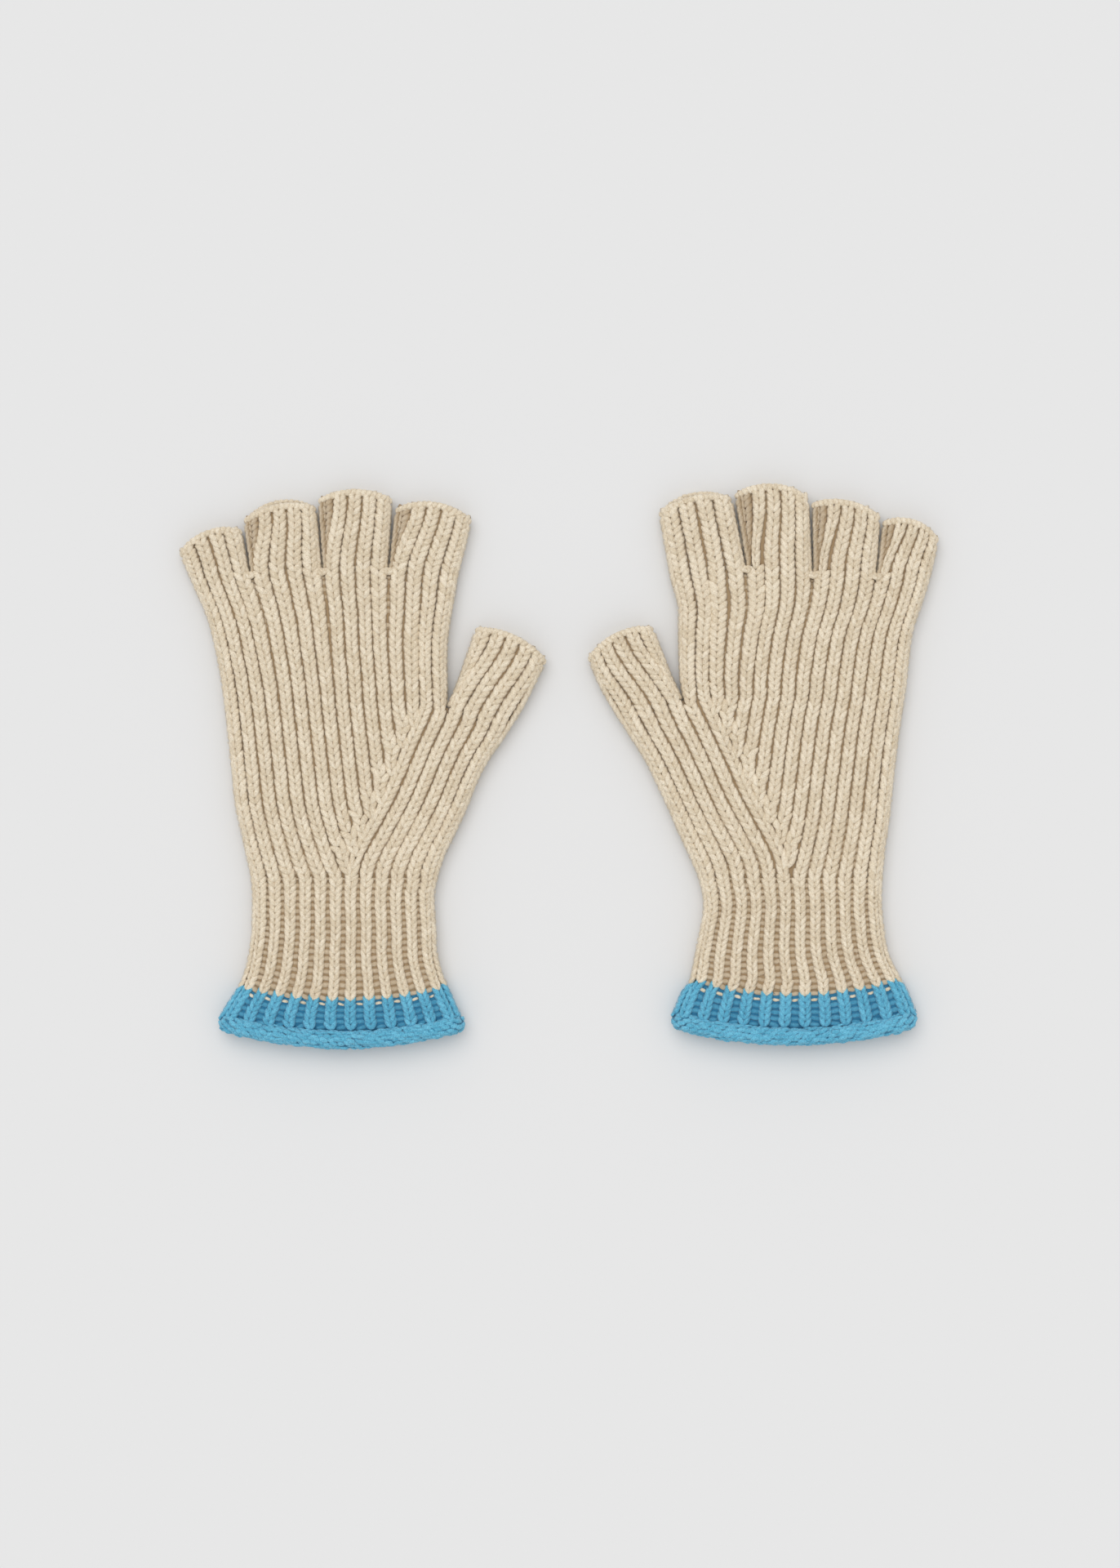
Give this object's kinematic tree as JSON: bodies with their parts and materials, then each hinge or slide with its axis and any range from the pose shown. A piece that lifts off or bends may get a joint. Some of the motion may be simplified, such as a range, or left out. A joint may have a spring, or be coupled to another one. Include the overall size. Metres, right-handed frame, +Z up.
{
  "type": "fingerless gloves",
  "caption": "Rib-knit wool fingerless gloves with open digit tubes, a diagonal thumb gusset and a contrasting rolled cuff edge, laid flat side by side.",
  "frame": {"origin": "centre of the pair's outline on the surface that it lies on", "axes": "+X along the row from one glove to the other, +Y towards the fingertips, +Z up off the surface"},
  "size_m": [0.3096, 0.2308, 0.014],
  "materials": {
    "beige_wool": "soft rib knit wool",
    "blue_wool": "soft rib knit wool"
  },
  "bodies": {
    "left_hand": {"left_hand_body": "beige_wool", "left_thumb_gusset": "beige_wool", "left_crotch_stitches": "beige_wool"},
    "left_cuff": {"left_wrist_rib": "beige_wool", "left_cuff_band": "blue_wool", "left_cuff_roll": "blue_wool"},
    "left_little": {"left_little_tube": "beige_wool", "left_little_edge": "beige_wool"},
    "left_ring": {"left_ring_tube": "beige_wool", "left_ring_edge": "beige_wool"},
    "left_middle": {"left_middle_tube": "beige_wool", "left_middle_edge": "beige_wool"},
    "left_index": {"left_index_tube": "beige_wool", "left_index_edge": "beige_wool"},
    "left_thumb": {"left_thumb_tube": "beige_wool", "left_thumb_edge": "beige_wool"},
    "right_hand": {"right_hand_body": "beige_wool", "right_thumb_gusset": "beige_wool", "right_crotch_stitches": "beige_wool"},
    "right_cuff": {"right_wrist_rib": "beige_wool", "right_cuff_band": "blue_wool", "right_cuff_roll": "blue_wool"},
    "right_little": {"right_little_tube": "beige_wool", "right_little_edge": "beige_wool"},
    "right_ring": {"right_ring_tube": "beige_wool", "right_ring_edge": "beige_wool"},
    "right_middle": {"right_middle_tube": "beige_wool", "right_middle_edge": "beige_wool"},
    "right_index": {"right_index_tube": "beige_wool", "right_index_edge": "beige_wool"},
    "right_thumb": {"right_thumb_tube": "beige_wool", "right_thumb_edge": "beige_wool"}
  },
  "joints": [
    {"name": "left_wrist_bend", "type": "hinge", "parent": "left_hand", "child": "left_cuff", "pos_m": [-0.08794, -0.05208, 0.0055], "axis": [-1, 0, 0], "range_deg": [0, 75]},
    {"name": "left_little_bend", "type": "hinge", "parent": "left_hand", "child": "left_little", "pos_m": [-0.13834, 0.08292, 0.005], "axis": [1, 0, 0], "range_deg": [0, 90]},
    {"name": "left_ring_bend", "type": "hinge", "parent": "left_hand", "child": "left_ring", "pos_m": [-0.11129, 0.08562, 0.005], "axis": [1, 0, 0], "range_deg": [0, 90]},
    {"name": "left_middle_bend", "type": "hinge", "parent": "left_hand", "child": "left_middle", "pos_m": [-0.08279, 0.08662, 0.005], "axis": [1, 0, 0], "range_deg": [0, 90]},
    {"name": "left_index_bend", "type": "hinge", "parent": "left_hand", "child": "left_index", "pos_m": [-0.05454, 0.08532, 0.005], "axis": [1, 0, 0], "range_deg": [0, 90]},
    {"name": "left_thumb_bend", "type": "hinge", "parent": "left_hand", "child": "left_thumb", "pos_m": [-0.02999, 0.02327, 0.005], "axis": [0.8867, -0.4624, 0], "range_deg": [0, 80]},
    {"name": "right_wrist_bend", "type": "hinge", "parent": "right_hand", "child": "right_cuff", "pos_m": [0.09586, -0.05208, 0.0055], "axis": [-1, 0, 0], "range_deg": [0, 75]},
    {"name": "right_little_bend", "type": "hinge", "parent": "right_hand", "child": "right_little", "pos_m": [0.14136, 0.08352, 0.005], "axis": [1, 0, 0], "range_deg": [0, 90]},
    {"name": "right_ring_bend", "type": "hinge", "parent": "right_hand", "child": "right_ring", "pos_m": [0.11661, 0.08452, 0.005], "axis": [1, 0, 0], "range_deg": [0, 90]},
    {"name": "right_middle_bend", "type": "hinge", "parent": "right_hand", "child": "right_middle", "pos_m": [0.09021, 0.08512, 0.005], "axis": [1, 0, 0], "range_deg": [0, 90]},
    {"name": "right_index_bend", "type": "hinge", "parent": "right_hand", "child": "right_index", "pos_m": [0.06126, 0.08382, 0.005], "axis": [1, 0, 0], "range_deg": [0, 90]},
    {"name": "right_thumb_bend", "type": "hinge", "parent": "right_hand", "child": "right_thumb", "pos_m": [0.0346, 0.02669, 0.005], "axis": [0.8904, 0.4551, 0], "range_deg": [0, 80]},
    {"name": "gloves_apart", "type": "slide", "parent": "left_hand", "child": "right_hand", "axis": [1, 0, 0], "range_m": [0, 0.15]}
  ]
}
